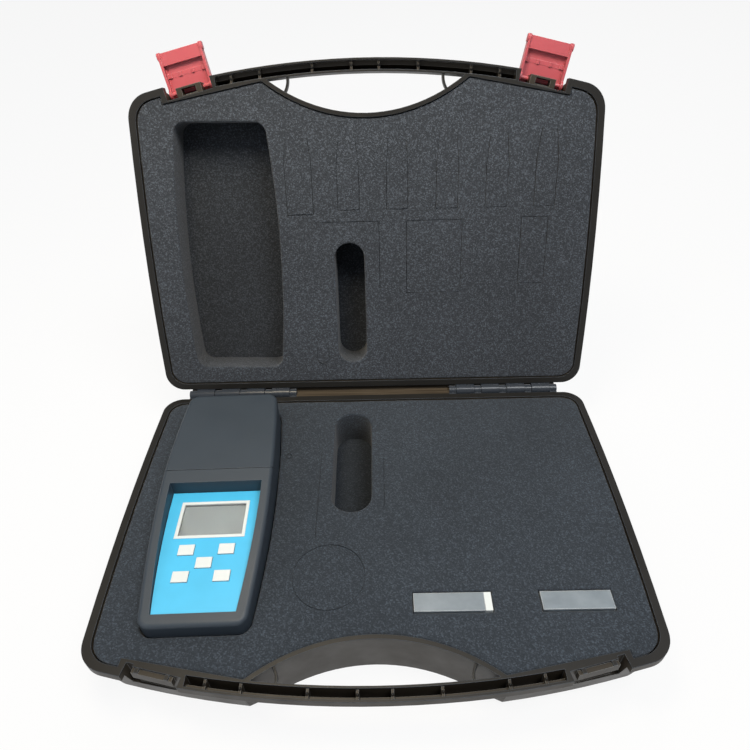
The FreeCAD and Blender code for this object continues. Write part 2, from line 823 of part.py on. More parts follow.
row_1 = display_y - dl / 2 - first_row_offset
key_places = {
    "key_upper_left": (-key_column, row_1),
    "key_upper_right": (key_column, row_1),
    "key_centre": (0.0, row_1 - key_row_pitch),
    "key_lower_left": (-key_column, row_1 - 2 * key_row_pitch),
    "key_lower_right": (key_column, row_1 - 2 * key_row_pitch),
}
kw, kl = key_size[0] / 2, key_size[1] / 2
key_low = panel_floor + key_travel + key_stop_gap
switches = []
for name, (x, y) in key_places.items():
    g = key_gap
    overlay = overlay.cut(box(x - kw - g, x + kw + g, y - kl - g, y + kl + g, 0, BIG))
    front = front.cut(upright(key_stem_radius + key_stem_clearance, x, y, split_height, BIG))
    switch_top = board_top + switch_height
    cap = box(x - kw, x + kw, y - kl, y + kl, key_low, panel_floor + overlay_thickness + key_height)
    stem = upright(key_stem_radius, x, y, switch_top + key_travel + key_stop_gap, key_low)
    parts[name] = place_tester(fuse(cap, stem))
    s = switch_size / 2
    switches.append(box(x - s, x + s, y - s, y + s, board_top, switch_top))

lcd = box(
    -dw / 2, dw / 2, display_y - dl / 2, display_y + dl / 2,
    panel_floor - panel_plate - lcd_thickness, panel_floor - panel_plate,
)
connector_low = panel_floor - panel_plate - lcd_thickness
connectors = [
    box(-dw / 2, dw / 2, y - connector_half, y + connector_half, board_top, connector_low)
    for y in (display_y - dl / 2 + connector_in, display_y + dl / 2 - connector_in)
]

# Main board on four bosses
board_y0 = -tester_half + board_tail_gap
board_y1 = seam_y - seam_gap - shell_wall - board_head_gap
board = box(
    -board_half_width, board_half_width, board_y0, board_y1, board_top - board_thickness, board_top,
)
board_screws = []
boss_rows = (board_y0 + 2 * boss_radius, board_y1 - 3 * boss_radius)
for y in boss_rows:
    for x in (-boss_x, boss_x):
        boss = upright(boss_radius, x, y, board_top, panel_floor)
        front = front.fuse(boss.cut(panel_space))
        hole = upright(board_screw_radius + screw_clearance, x, y, 0, panel_floor - panel_plate)
        front = front.cut(hole)
        board = board.cut(hole)
        low = board_top - board_thickness
        head = upright(2 * board_screw_radius, x, y, low - board_screw_radius, low)
        board_screws.append(head.fuse(upright(board_screw_radius, x, y, low, low + board_screw_length)))
for x, y in screw_places:
    board = board.cut(upright(pillar_radius + deck_clearance, x, y, 0, BIG))

# Battery bay: cells, contacts and the sliding door
cells = []
contacts = []
cell_z = door_thickness + door_clearance + cell_radius
for k in range(cell_count):
    x = (k - (cell_count - 1) / 2) * cell_pitch
    y0 = battery_y0 + contact_thickness
    cells.append(rod(cell_radius, V(x, y0, cell_z), V(x, y0 + cell_length, cell_z)))
    s = contact_size / 2
    for y in (battery_y0, battery_y1 - contact_thickness):
        contacts.append(box(x - s, x + s, y, y + contact_thickness, cell_z - s, cell_z + s))
door = box(-door_half, door_half, door_y0, door_y1, 0, door_thickness)
for k in range(door_grooves):
    y = door_y0 + 4 * door_thickness + 2 * k * door_thickness
    door = door.cut(box(-cell_radius, cell_radius, y, y + door_thickness, -1, door_thickness / 4))

# Sample chamber
deck_low = split_height - deck_thickness
deck = tester_block(shell_wall + deck_clearance, deck_low, split_height)
deck = deck.common(side_slab(seam_y, BIG, 0, BIG))
rib_inset = shell_wall + cap_side_clearance
rib = tester_block(rib_inset, split_height, split_height + deck_rib_height)
rib = rib.cut(tester_block(rib_inset + deck_rib, 0, BIG))
rib = rib.common(side_slab(seam_low_y + deck_rib, tester_half - well_from_head / 2, 0, BIG))
post = box(
    -cap_post_half_width, cap_post_half_width,
    cap_pivot_y - 2 * cap_lug_radius, cap_pivot_y + cap_lug_radius, split_height, cap_pivot_z,
)
post_end = V(cap_post_half_width, 0, 0)
pivot = V(0, cap_pivot_y, cap_pivot_z)
post_top = rod(cap_lug_radius, pivot - post_end, pivot + post_end)
post = post.cut(
    box(-BIG, BIG, -BIG, cap_pivot_y - cap_lug_radius, split_height + 2 * deck_rib_height, BIG)
)
pin_reach = V(cap_post_half_width + cap_lug_width + pin_clearance + deck_clearance, 0, 0)
cap_axis = (pivot - pin_reach, pivot + pin_reach)
cap_bore = rod(cap_pin_radius + pin_clearance, *cap_axis)
deck = fuse(deck, rib, post, post_top).cut(cap_bore)
for x, y in screw_places:
    if y > seam_y:
        deck = deck.cut(upright(screw_radius + screw_clearance, x, y, 0, split_height))
well = box(-well_half, well_half, well_y - well_half, well_y + well_half, shell_wall + 1, BIG)
deck = deck.cut(well)
holder_low = deck_low - holder_height
holder = box(-holder_half, holder_half, well_y - holder_half, well_y + holder_half, holder_low, deck_low)
holder = holder.cut(box(
    -well_half, well_half, well_y - well_half, well_y + well_half, holder_low + well_clearance, BIG,
))
beam_z = holder_low + beam_height
holder = holder.cut(rod(beam_radius, V(-holder_half - 1, well_y, beam_z), V(well_half, well_y, beam_z)))
holder = holder.cut(rod(
    sensor_radius + well_clearance, V(well_half + 1, well_y, beam_z), V(holder_half + 1, well_y, beam_z),
))
holder = holder.cut(rod(beam_radius, V(0, well_y, beam_z), V(holder_half, well_y, beam_z)))
lamp_tip = -well_half - 1
lamp = rod(lamp_radius, V(lamp_tip - lamp_length, well_y, beam_z), V(lamp_tip, well_y, beam_z))
filter_x = well_half + 1
filter_start = V(filter_x, well_y, beam_z)
glass_filter = rod(sensor_radius, filter_start, filter_start + V(filter_thickness, 0, 0))
sensor_x = filter_x + filter_thickness + well_clearance
sensor_start = V(sensor_x, well_y, beam_z)
sensor = rod(sensor_radius, sensor_start, sensor_start + V(sensor_length, 0, 0))
bt, bw, bh = optics_board
lamp_board_x = lamp_tip - lamp_length
lamp_board = box(
    lamp_board_x - bt, lamp_board_x, well_y - bw / 2, well_y + bw / 2, beam_z - bh / 2, beam_z + bh / 2,
)
sensor_end = sensor_x + sensor_length
sensor_board = box(
    sensor_end, sensor_end + bt, well_y - bw / 2, well_y + bw / 2, beam_z - bh / 2, beam_z + bh / 2,
)
seal_half = well_half + seal_width
seal = box(
    -seal_half, seal_half, well_y - seal_half, well_y + seal_half,
    split_height, split_height + seal_height,
)
seal = seal.cut(well)

# Light cap, hinged on its post at the head end
cap = outside.common(cap_zone).cut(hollow)
slot_half = cap_post_half_width + deck_clearance
notch = box(-slot_half, slot_half, cap_pivot_y, BIG, 0, head_top - shell_wall)
cap = cap.cut(notch)
for sx in (-1, 1):
    x0 = slot_half
    x1 = slot_half + cap_lug_width
    lug = box(x0, x1, cap_pivot_y - cap_lug_radius, tester_half, cap_pivot_z - cap_lug_radius, head_top)
    lug = lug.common(outside)
    cap = cap.fuse(lug if sx > 0 else mirrored(lug))
cap = cap.cut(cap_bore)
cap_pin = rod(cap_pin_radius, *cap_axis)

for name, shape in (
    ("rear_housing", rear),
    ("front_housing", front),
    ("housing_screws", Part.makeCompound(screws)),
    ("panel_overlay", overlay),
    ("display_bezel", bezel),
    ("display_window", window),
    ("lcd_module", lcd),
    ("display_connectors", Part.makeCompound(connectors)),
    ("main_board", board),
    ("board_screws", Part.makeCompound(board_screws)),
    ("key_switches", Part.makeCompound(switches)),
    ("battery_cells", Part.makeCompound(cells)),
    ("battery_contacts", Part.makeCompound(contacts)),
    ("battery_door", door),
    ("sample_deck", deck),
    ("cell_holder", holder),
    ("lamp", lamp),
    ("lamp_board", lamp_board),
    ("colour_filter", glass_filter),
    ("light_sensor", sensor),
    ("sensor_board", sensor_board),
    ("well_seal", seal),
    ("cap_hinge_pin", cap_pin),
    ("light_cap", cap),
):
    parts[name] = place_tester(shape)

os.makedirs("parts", exist_ok=True)
for name, shape in parts.items():
    shape.exportStep("parts/" + name + ".step")
    print(name, len(shape.Solids), round(shape.Volume), shape.isValid())
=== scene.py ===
"""Looks of the chlorine tester in its open carrying case, in metres, in the CAD model's frame."""

import json
import math

import bmesh
import bpy
from mathutils import Matrix, Vector, noise


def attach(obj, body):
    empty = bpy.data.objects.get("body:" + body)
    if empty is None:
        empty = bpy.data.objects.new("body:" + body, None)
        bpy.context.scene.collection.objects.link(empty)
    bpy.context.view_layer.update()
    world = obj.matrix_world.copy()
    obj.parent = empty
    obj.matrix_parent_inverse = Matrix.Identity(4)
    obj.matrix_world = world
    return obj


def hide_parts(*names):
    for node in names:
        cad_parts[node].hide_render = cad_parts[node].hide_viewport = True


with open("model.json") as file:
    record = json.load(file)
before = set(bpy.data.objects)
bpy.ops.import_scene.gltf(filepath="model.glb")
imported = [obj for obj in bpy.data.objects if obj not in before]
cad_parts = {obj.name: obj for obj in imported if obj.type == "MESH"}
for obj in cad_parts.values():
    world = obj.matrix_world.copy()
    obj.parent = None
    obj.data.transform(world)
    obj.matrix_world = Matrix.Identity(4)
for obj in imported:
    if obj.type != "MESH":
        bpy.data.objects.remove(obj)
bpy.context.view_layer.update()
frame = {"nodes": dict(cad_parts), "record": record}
nodes = frame["nodes"]
MM = 0.001

# The plan of a half case: x, y = -d (d forward from the hinge axis), rim at z = 0, body below
HINGE = Vector((0.0, 0.130, 0.042))
OPEN_ANGLE = math.radians(108.7)
RIM_GAP = 0.2 * MM
BASE_PLAN = Matrix.Translation(-HINGE)
LID_PLAN = (
    Matrix.Diagonal((1, 1, -1, 1))
    @ Matrix.Translation((0, 0, -RIM_GAP))
    @ Matrix.Rotation(OPEN_ANGLE, 4, "X")
    @ Matrix.Translation(-HINGE)
)
LID_INWARD = (0.0, 0.94721, -0.32062)
LID_RIM = 0.10987    # distance of the lid's rim from the origin along LID_INWARD
STRIP_END = 0.0672   # where the strip between the hinges meets the first barrel
CASE_BACK = 0.1256   # back of the base's rim
BASE_FOAM_FACE = 0.0412


# Materials

def material(name, color, roughness, specular=0.5):
    """A Principled material and a small kit for adding nodes to it."""
    mat = bpy.data.materials.new(name)
    mat.use_nodes = True
    tree = mat.node_tree
    bsdf = tree.nodes["Principled BSDF"]
    bsdf.inputs["Base Color"].default_value = (*color, 1)
    bsdf.inputs["Roughness"].default_value = roughness
    bsdf.inputs["Specular IOR Level"].default_value = specular
    return mat, tree, bsdf


def add(tree, kind, inputs=(), **settings):
    """A new node with its settings and its inputs, which are values or sockets."""
    node = tree.nodes.new(kind)
    for key, value in settings.items():
        setattr(node, key, value)
    for key, value in dict(inputs).items():
        if isinstance(value, bpy.types.NodeSocket):
            tree.links.new(value, node.inputs[key])
        else:
            node.inputs[key].default_value = value
    return node


def compute(tree, operation, first, second=None):
    """The result of one Math node."""
    inputs = {0: first} if second is None else {0: first, 1: second}
    return add(tree, "ShaderNodeMath", inputs, operation=operation).outputs[0]


def coords(tree):
    return add(tree, "ShaderNodeTexCoord").outputs["Object"]


def coordinate(tree, axis):
    """One of the object coordinates: X, Y or Z."""
    return add(tree, "ShaderNodeSeparateXYZ", {0: coords(tree)}).outputs[axis]


def distance_along(tree, direction):
    """The distance from the origin along a unit vector."""
    inputs = {0: coords(tree), 1: direction}
    return add(tree, "ShaderNodeVectorMath", inputs, operation="DOT_PRODUCT").outputs["Value"]


def noise_map(tree, scale, detail=3.0, roughness=0.55):
    inputs = {"Vector": coords(tree), "Scale": scale, "Detail": detail, "Roughness": roughness}
    return add(tree, "ShaderNodeTexNoise", inputs).outputs["Fac"]


def ramp(tree, value, stops):
    """Maps a value through (position, grey or colour) stops."""
    node = add(tree, "ShaderNodeValToRGB", {"Fac": value})
    elements = node.color_ramp.elements
    while len(elements) < len(stops):
        elements.new(0.5)
    for element, (position, shade) in zip(elements, stops):
        element.position = position
        element.color = (*shade, 1) if isinstance(shade, tuple) else (shade, shade, shade, 1)
    return node.outputs["Color"]


def scaled(tree, value, low, high, to_low, to_high):
    """Maps a value from one range to another, clamped to its ends."""
    inputs = {
        "Value": value, "From Min": low, "From Max": high, "To Min": to_low, "To Max": to_high,
    }
    return add(tree, "ShaderNodeMapRange", inputs).outputs[0]


def mix(tree, factor, first, second, blend="MIX"):
    node = add(tree, "ShaderNodeMix", data_type="RGBA", blend_type=blend)
    for index, value in ((0, factor), (6, first), (7, second)):
        socket = node.inputs[index]
        if isinstance(value, bpy.types.NodeSocket):
            tree.links.new(value, socket)
        elif isinstance(value, tuple):
            socket.default_value = (*value, 1)
        else:
            socket.default_value = value
    return node.outputs[2]


def edge_mask(tree, radius):
    """About 1 along the edges of a piece and 0 on its flat faces, and the rounded normal."""
    bevel = add(tree, "ShaderNodeBevel", {"Radius": radius}, samples=6)
    geometry = add(tree, "ShaderNodeNewGeometry")
    dot = add(
        tree, "ShaderNodeVectorMath",
        {0: bevel.outputs["Normal"], 1: geometry.outputs["Normal"]}, operation="DOT_PRODUCT",
    )
    return ramp(tree, dot.outputs["Value"], ((0.80, 1.0), (0.995, 0.0))), bevel.outputs["Normal"]


def bump(tree, bsdf, layers, normal=None):
    """Stacks bump layers of (height socket, strength, distance) on the shader's normal."""
    for height, strength, distance in layers:
        inputs = {"Height": height, "Strength": strength, "Distance": distance}
        if normal is not None:
            inputs["Normal"] = normal
        normal = add(tree, "ShaderNodeBump", inputs).outputs["Normal"]
    tree.links.new(normal, bsdf.inputs["Normal"])


def plastic(name, color, edge_highlight, roughness, grain, grain_scale, spread, edge, specular=0.5):
    """Moulded plastic: fine grain, slight colour drift, and a painted highlight that lightens its
    edges.

    spread is the share by which the colour drifts, and edge the width of the edges in mm.
    """
    mat, tree, bsdf = material(name, color, roughness, specular)
    drift = scaled(tree, noise_map(tree, 22, 4), 0.3, 0.7, 1 - spread, 1 + spread)
    base = mix(tree, 1.0, color, drift, "MULTIPLY")
    mask, normal = edge_mask(tree, edge * MM)
    # Painted highlight: the edges are mixed towards the lighter second colour.
    tree.links.new(mix(tree, mask, base, edge_highlight), bsdf.inputs["Base Color"])
    patchy = scaled(tree, noise_map(tree, 60, 5), 0.25, 0.75, roughness - 0.06, roughness + 0.07)
    tree.links.new(patchy, bsdf.inputs["Roughness"])
    bump(tree, bsdf, ((noise_map(tree, grain_scale, 2), grain, 0.05 * MM),), normal)
    return mat, tree, bsdf


def region(tree, x_range, y_range, z_range):
    """1 inside a box of object coordinates, 0 outside. x_range is of the distance from x = 0."""
    side = compute(tree, "ABSOLUTE", coordinate(tree, "X"))
    y, z = coordinate(tree, "Y"), coordinate(tree, "Z")
    inside = None
    for value, (low, high) in ((side, x_range), (y, y_range), (z, z_range)):
        for limit, test in ((low, "GREATER_THAN"), (high, "LESS_THAN")):
            step = compute(tree, test, value, limit)
            if inside is not None:
                step = compute(tree, "MULTIPLY", inside, step)
            inside = step
    return inside


def make_case_material():
    """Black moulded case plastic, with painted shade darkening its rims down to about the foam's
    face, and the strip and barrels of the hinges.
    """
    # Its second colour is the painted highlight along the case's edges.
    mat, tree, bsdf = plastic(
        "case_plastic", (0.028, 0.0225, 0.0160), (0.200, 0.206, 0.204), 0.46,
        grain=0.16, grain_scale=1500, spread=0.15, edge=0.45, specular=0.30,
    )
    walls = bsdf.inputs["Base Color"].links[0].from_socket
    dull = bsdf.inputs["Roughness"].links[0].from_socket

    strip = region(tree, (-1.0, STRIP_END), (0.1258, 0.1390), (0.0395, 0.0424))
    barrel = region(tree, (STRIP_END, 0.1620), (0.1250, 0.1350), (0.0370, 0.0470))
    streaks = add(tree, "ShaderNodeMapping", {"Vector": coords(tree), "Scale": (6.0, 260.0, 60.0)})
    grain = add(
        tree, "ShaderNodeTexNoise", {"Vector": streaks.outputs[0], "Scale": 3.0, "Detail": 4.0},
    )
    brown = ramp(
        tree, grain.outputs["Fac"],
        ((0.35, (0.035, 0.026, 0.017)), (0.65, (0.074, 0.058, 0.040))),
    )

    base_rim = region(tree, (-1.0, 1.0), (-1.0, CASE_BACK), (0.0410, 0.0425))
    from_rim = compute(tree, "SUBTRACT", distance_along(tree, LID_INWARD), LID_RIM)
    near_rim = compute(tree, "LESS_THAN", from_rim, 1.2 * MM)
    above_hinge = region(tree, (-1.0, 1.0), (CASE_BACK, 1.0), (0.0450, 1.0))
    lid_rim = compute(tree, "MULTIPLY", near_rim, above_hinge)
    rim = compute(tree, "MAXIMUM", base_rim, lid_rim)

    # Painted shade: the rims, down to about the level of the foam's face, are darkened and turned
    # bluer.
    dark = mix(tree, 1.0, walls, (0.40, 0.47, 0.60), "MULTIPLY")
    base = mix(tree, strip, mix(tree, rim, walls, dark), brown)
    tree.links.new(mix(tree, barrel, base, (0.030, 0.036, 0.046)), bsdf.inputs["Base Color"])
    rough = compute(tree, "SUBTRACT", dull, compute(tree, "MULTIPLY", barrel, 0.22))
    tree.links.new(rough, bsdf.inputs["Roughness"])
    return mat


def make_foam_material(name, color, contrast, inward, face):
    """Open cell foam: cells of uneven brightness, finer pores, and painted shade that darkens it
    with its distance below its face.

    inward is the direction into the foam and face the distance of its upper face along it.
    """
    mat, tree, bsdf = material(name, color, 0.95, 0.10)
    bsdf.inputs["Sheen Weight"].default_value = 0.12
    bsdf.inputs["Sheen Roughness"].default_value = 0.6
    cells = add(tree, "ShaderNodeTexVoronoi", {"Vector": coords(tree), "Scale": 1250.0})
    fine = add(tree, "ShaderNodeTexVoronoi", {"Vector": coords(tree), "Scale": 2900.0})
    chance = add(tree, "ShaderNodeSeparateColor", {0: cells.outputs["Color"]}).outputs[0]
    skewed = compute(tree, "POWER", chance, 3.0)
    tone = scaled(tree, skewed, 0.0, 1.0, 1 - 0.5 * contrast, 1 + 2.6 * contrast)
    pores = scaled(
        tree, fine.outputs["Distance"], 0.1, 0.8, 1 + 0.4 * contrast, 1 - 0.5 * contrast,
    )
    drift = scaled(tree, noise_map(tree, 11, 5, 0.6), 0.3, 0.7, 0.88, 1.12)
    base = mix(tree, 1.0, color, tone, "MULTIPLY")
    base = mix(tree, 1.0, base, pores, "MULTIPLY")
    # Painted shade: the foam darkens to 0.56 from 1.5 mm to 24 mm below its face, as in a shaded
    # recess.
    cut_depth = compute(tree, "SUBTRACT", distance_along(tree, inward), face)
    recess_shade = scaled(tree, cut_depth, 1.5 * MM, 24 * MM, 1.0, 0.56)
    base = mix(tree, 1.0, base, recess_shade, "MULTIPLY")
    tree.links.new(mix(tree, 1.0, base, drift, "MULTIPLY"), bsdf.inputs["Base Color"])
    bump(tree, bsdf, (
        (noise_map(tree, 120, 4), 0.3, 0.4 * MM),
        (cells.outputs["Distance"], 0.5, 0.3 * MM),
        (fine.outputs["Distance"], 0.4, 0.15 * MM),
    ))
    return mat


def make_latch_material():
    """Bright red moulded plastic, a little translucent."""
    # Its second colour is a painted highlight along the latch's edges.
    mat, tree, bsdf = plastic(
        "latch_plastic", (0.40, 0.070, 0.086), (0.50, 0.16, 0.18), 0.38,
        grain=0.05, grain_scale=1400, spread=0.05, edge=0.45,
    )
    bsdf.inputs["Subsurface Weight"].default_value = 0.12
    bsdf.inputs["Subsurface Radius"].default_value = (0.004, 0.001, 0.001)
    return mat


def make_panel_material():
    """Printed blue film, with a fine even texture and a painted light falloff that shifts its blue
    slightly along Y.
    """
    mat, tree, bsdf = material("panel_film", (0.05, 0.47, 0.86), 0.40)
    # Painted light falloff: the blue shifts slightly along Y, as the light on the film falls off.
    along = scaled(tree, coordinate(tree, "Y"), -0.08, 0.04, 0.0, 1.0)
    shade = ramp(tree, along, ((0.0, (0.064, 0.430, 0.70)), (1.0, (0.049, 0.430, 0.74))))
    drift = scaled(tree, noise_map(tree, 35, 3), 0.3, 0.7, 0.95, 1.05)
    tree.links.new(mix(tree, 1.0, shade, drift, "MULTIPLY"), bsdf.inputs["Base Color"])
    bump(tree, bsdf, ((noise_map(tree, 2200, 2), 0.08, 0.03 * MM),))
    return mat


def make_frosted_material():
    """Frosted side walls of a sample cell: part of the light scatters, part goes through, and a
    painted highlight turns the edges near white.
    """
    mat, tree, bsdf = material("cell_glass", (0.31, 0.36, 0.41), 0.38)
    bsdf.inputs["Transmission Weight"].default_value = 0.42
    bsdf.inputs["IOR"].default_value = 1.49
    mask, normal = edge_mask(tree, 1.1 * MM)
    cloud = ramp(
        tree, noise_map(tree, 90, 5), ((0.3, (0.26, 0.31, 0.36)), (0.7, (0.35, 0.41, 0.46))),
    )
    # Painted highlight: the edges are mixed towards near white.
    tree.links.new(mix(tree, mask, cloud, (0.80, 0.85, 0.89)), bsdf.inputs["Base Color"])
    bump(tree, bsdf, ((noise_map(tree, 3500, 2), 0.2, 0.03 * MM),), normal)
    return mat


def make_clear_material():
    """Clear window plastic, faintly smeared."""
    mat, tree, bsdf = material("clear_window", (0.93, 0.96, 0.96), 0.07)
    bsdf.inputs["Transmission Weight"].default_value = 0.93
    bsdf.inputs["IOR"].default_value = 1.45
    smear = ramp(tree, noise_map(tree, 70, 4), ((0.35, 0.05), (0.75, 0.16)))
    tree.links.new(smear, bsdf.inputs["Roughness"])
    return mat


DOT_PITCH = 0.6 * MM    # of the display


def make_lcd_material():
    """Reflective grey display glass with its faint grid of dots."""
    mat, tree, bsdf = material("lcd", (0.30, 0.33, 0.34), 0.30)
    lines = []
    for axis in ("X", "Y"):
        wave = compute(tree, "MULTIPLY", coordinate(tree, axis), 2 * math.pi / DOT_PITCH)
        lines.append(compute(tree, "SINE", wave))
    grid = compute(tree, "MAXIMUM", *lines)
    dots = ramp(tree, grid, ((0.7, (0.365, 0.40, 0.42)), (1.0, (0.325, 0.36, 0.38))))
    cloud = scaled(tree, noise_map(tree, 40, 3), 0.3, 0.7, 0.90, 1.08)
    tree.links.new(mix(tree, 1.0, dots, cloud, "MULTIPLY"), bsdf.inputs["Base Color"])
    return mat


def make_steel_material():
    """Drawn and plated steel, brushed along its length."""
    mat, tree, bsdf = material("steel", (0.56, 0.56, 0.57), 0.32)
    bsdf.inputs["Metallic"].default_value = 1.0
    inputs = {"Vector": coords(tree), "Scale": (1.0, 14.0, 14.0)}
    stretched = add(tree, "ShaderNodeMapping", inputs)
    inputs = {"Vector": stretched.outputs[0], "Scale": 220.0, "Detail": 3.0}
    lines = add(tree, "ShaderNodeTexNoise", inputs).outputs["Fac"]
    rough = ramp(tree, lines, ((0.3, 0.22), (0.7, 0.42)))
    shade = ramp(tree, lines, ((0.3, (0.50, 0.50, 0.51)), (0.7, (0.62, 0.62, 0.62))))
    tree.links.new(rough, bsdf.inputs["Roughness"])
    tree.links.new(shade, bsdf.inputs["Base Color"])
    return mat


def make_board_material():
    """Green solder mask over copper tracks."""
    mat, tree, bsdf = material("board", (0.02, 0.16, 0.06), 0.30)
    tracks = add(tree, "ShaderNodeTexBrick", {
        "Vector": coords(tree), "Scale": 120.0, "Mortar Size": 0.02,
        "Color1": (0.020, 0.150, 0.055, 1), "Color2": (0.026, 0.185, 0.070, 1),
        "Mortar": (0.05, 0.27, 0.11, 1),
    })
    tree.links.new(tracks.outputs["Color"], bsdf.inputs["Base Color"])
    bump(tree, bsdf, ((tracks.outputs["Fac"], 0.3, 0.03 * MM),))
    return mat


def make_jacket_material():
    """Printed sleeve of a battery cell, a dark band and a lighter one."""
    mat, tree, bsdf = material("cell_jacket", (0.05, 0.055, 0.065), 0.28)
    band = scaled(tree, coordinate(tree, "Y"), -0.075, -0.022, 0.0, 1.0)
    shade = ramp(tree, band, ((0.24, (0.42, 0.43, 0.44)), (0.26, (0.045, 0.05, 0.06))))
    tree.links.new(shade, bsdf.inputs["Base Color"])
    bump(tree, bsdf, ((noise_map(tree, 500, 2), 0.05, 0.05 * MM),))
    return mat


def make_lens_material(name, color, transmission):
    """Tinted clear plastic or glass."""
    mat, tree, bsdf = material(name, color, 0.12)
    bsdf.inputs["Transmission Weight"].default_value = transmission
    darker = tuple(0.9 * c for c in color)
    shade = ramp(tree, noise_map(tree, 200, 2), ((0.3, darker), (0.7, color)))
    tree.links.new(shade, bsdf.inputs["Base Color"])
    return mat


case_mat = make_case_material()
# The lid and the base hold one foam; the lid's copy is made lighter and more speckled, painted
# light for its more brightly lit face.
lid_foam_mat = make_foam_material(
    "foam_lid", (0.035, 0.0410, 0.0510), 0.50, LID_INWARD, LID_RIM + 0.8 * MM,
)
base_foam_mat = make_foam_material(
    "foam_base", (0.026, 0.0330, 0.0430), 0.36, (0.0, 0.0, -1.0), -BASE_FOAM_FACE,
)
latch_mat = make_latch_material()
# In each plastic below, the second colour is a painted highlight along the edges.
housing_mat = plastic(
    "housing_plastic", (0.031, 0.042, 0.056), (0.095, 0.115, 0.135), 0.50,
    grain=0.22, grain_scale=1900, spread=0.05, edge=0.5, specular=0.4,
)[0]
white_mat = plastic(
    "white_print", (0.60, 0.64, 0.65), (0.66, 0.70, 0.71), 0.42,
    grain=0.05, grain_scale=1800, spread=0.03, edge=0.25,
)[0]
black_mat = plastic(
    "black_plastic", (0.016, 0.016, 0.017), (0.035, 0.035, 0.036), 0.55,
    grain=0.2, grain_scale=1600, spread=0.1, edge=0.3,
)[0]
rubber_mat = plastic(
    "rubber", (0.020, 0.020, 0.021), (0.032, 0.032, 0.033), 0.75,
    grain=0.25, grain_scale=1200, spread=0.15, edge=0.3,
)[0]
steel_mat = make_steel_material()
board_mat = make_board_material()
finishes = {
    "case_plastic": case_mat,
    "foam": lid_foam_mat,
    "hinge_steel": steel_mat,
    "latch_plastic": latch_mat,
    "housing_plastic": housing_mat,
    "panel_film": make_panel_material(),
    "white_print": white_mat,
    "lcd": make_lcd_material(),
    "clear_window": make_clear_material(),
    "cell_glass": make_frosted_material(),
    "stopper_white": white_mat,
    "board": board_mat,
    "steel": steel_mat,
    "black_plastic": black_mat,
    "rubber": rubber_mat,
    "cell_jacket": make_jacket_material(),
    "lamp_lens": make_lens_material("lamp_lens", (0.40, 0.85, 0.46), 0.6),
    "filter_glass": make_lens_material("filter_glass", (0.25, 0.75, 0.38), 0.8),
}
for entry in frame["record"]["subparts"]:
    mesh = nodes[entry["node"]].data
    mesh.materials.clear()
    mesh.materials.append(finishes[entry["material_slot"]])


# Mesh helpers

def mesh_from(bm, name):
    """Turns a bmesh into a mesh of that name, and frees it."""
    mesh = bpy.data.meshes.new(name)
    bm.to_mesh(mesh)
    bm.free()
    return mesh


def new_object(name, mesh, finish):
    piece = bpy.data.objects.new(name, mesh)
    bpy.context.scene.collection.objects.link(piece)
    mesh.materials.clear()
    mesh.materials.append(finish)
    return piece


def skin(bm, rings):
    """Closes a row of vertex rings into the surface of a solid."""
    count = len(rings[0])
    for first, second in zip(rings, rings[1:]):
        for k in range(count):
            n = (k + 1) % count
            bm.faces.new((first[k], first[n], second[n], second[k]))
    bm.faces.new(rings[0])
    bm.faces.new(list(reversed(rings[-1])))


def smooth_by_angle(bm, degrees):
    """Smooth shading, except at edges that turn by more than the angle."""
    limit = math.radians(degrees)
    for face in bm.faces:
        face.smooth = True
    for edge in bm.edges:
        if len(edge.link_faces) == 2:
            edge.smooth = edge.calc_face_angle(0.0) < limit


SHARPEST_MITRE = 0.3    # cosine of half the sharpest turn that a blade follows in full


def score_line(bm, points, width, depth, top):
    """Adds a closed thin blade along a line of (x, d) points in mm, down from the foam's face."""
    line = [Vector((x * MM, -d * MM)) for x, d in points]
    sides = []
    for k, point in enumerate(line):
        before = (point - line[k - 1]).normalized() if k > 0 else None
        after = (line[k + 1] - point).normalized() if k + 1 < len(line) else None
        way = (before or after) + (after or before)
        way.normalize()
        straight = before or after
        reach = width / 2 / max(SHARPEST_MITRE, way.dot(straight))
        side = Vector((-way.y, way.x)) * reach
        sides.append((point + side, point - side))
    outline = [a for a, _ in sides] + [b for _, b in reversed(sides)]
    rings = [
        [bm.verts.new((p.x, p.y, z)) for p in outline]
        for z in (top + 1.0 * MM, top - depth)
    ]
    count = len(outline)
    bm.faces.new(rings[0])
    bm.faces.new(list(reversed(rings[1])))
    for k in range(count):
        n = (k + 1) % count
        bm.faces.new((rings[0][n], rings[0][k], rings[1][k], rings[1][n]))


def cut(mesh, blade_mesh):
    """The mesh with the blades cut out of it."""
    body = bpy.data.objects.new("cut_body", mesh)
    blade = bpy.data.objects.new("cut_blade", blade_mesh)
    for thing in (body, blade):
        bpy.context.scene.collection.objects.link(thing)
    modifier = body.modifiers.new("cut", "BOOLEAN")
    modifier.operation = "DIFFERENCE"
    modifier.solver = "EXACT"
    modifier.object = blade
    bpy.context.view_layer.update()
    evaluated = body.evaluated_get(bpy.context.evaluated_depsgraph_get())
    result = bpy.data.meshes.new_from_object(evaluated)
    for thing in (body, blade):
        bpy.data.objects.remove(thing)
    return result


FOAM_EDGE = 1.3 * MM    # rounding of the foam's upper edges


